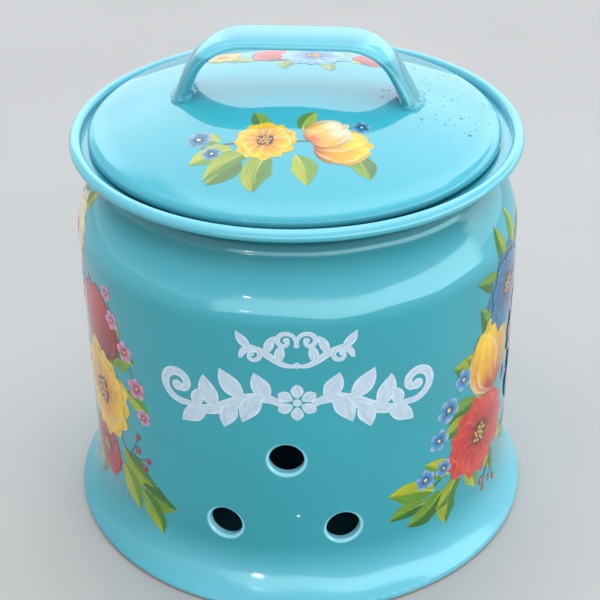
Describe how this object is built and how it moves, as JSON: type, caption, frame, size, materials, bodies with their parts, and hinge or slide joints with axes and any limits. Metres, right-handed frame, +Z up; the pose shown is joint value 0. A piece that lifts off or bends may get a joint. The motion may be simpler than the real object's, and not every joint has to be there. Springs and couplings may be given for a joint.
{
  "type": "potato storage bin",
  "caption": "Round glazed stoneware potato bin with a flared base, curved shoulder, beaded rim, vented wall and an inset domed lid with a strap handle.",
  "frame": {"origin": "centre of the standing ring, on the surface that the bin stands on", "axes": "+Z up through the middle of the lid; the wall with the air vents faces -Y; the lid's handle runs along X"},
  "size_m": [0.2348, 0.2348, 0.2496],
  "materials": {
    "body_glaze": "glossy",
    "lid_glaze": "glossy",
    "handle_glaze": "glossy"
  },
  "bodies": {
    "bin": {"bin_body": "body_glaze"},
    "lid": {"lid": "lid_glaze", "lid_handle": "handle_glaze"}
  },
  "joints": [
    {"name": "lid_lift", "type": "slide", "parent": "bin", "child": "lid", "axis": [0, 0, 1], "range_m": [0, 0.06]}
  ]
}
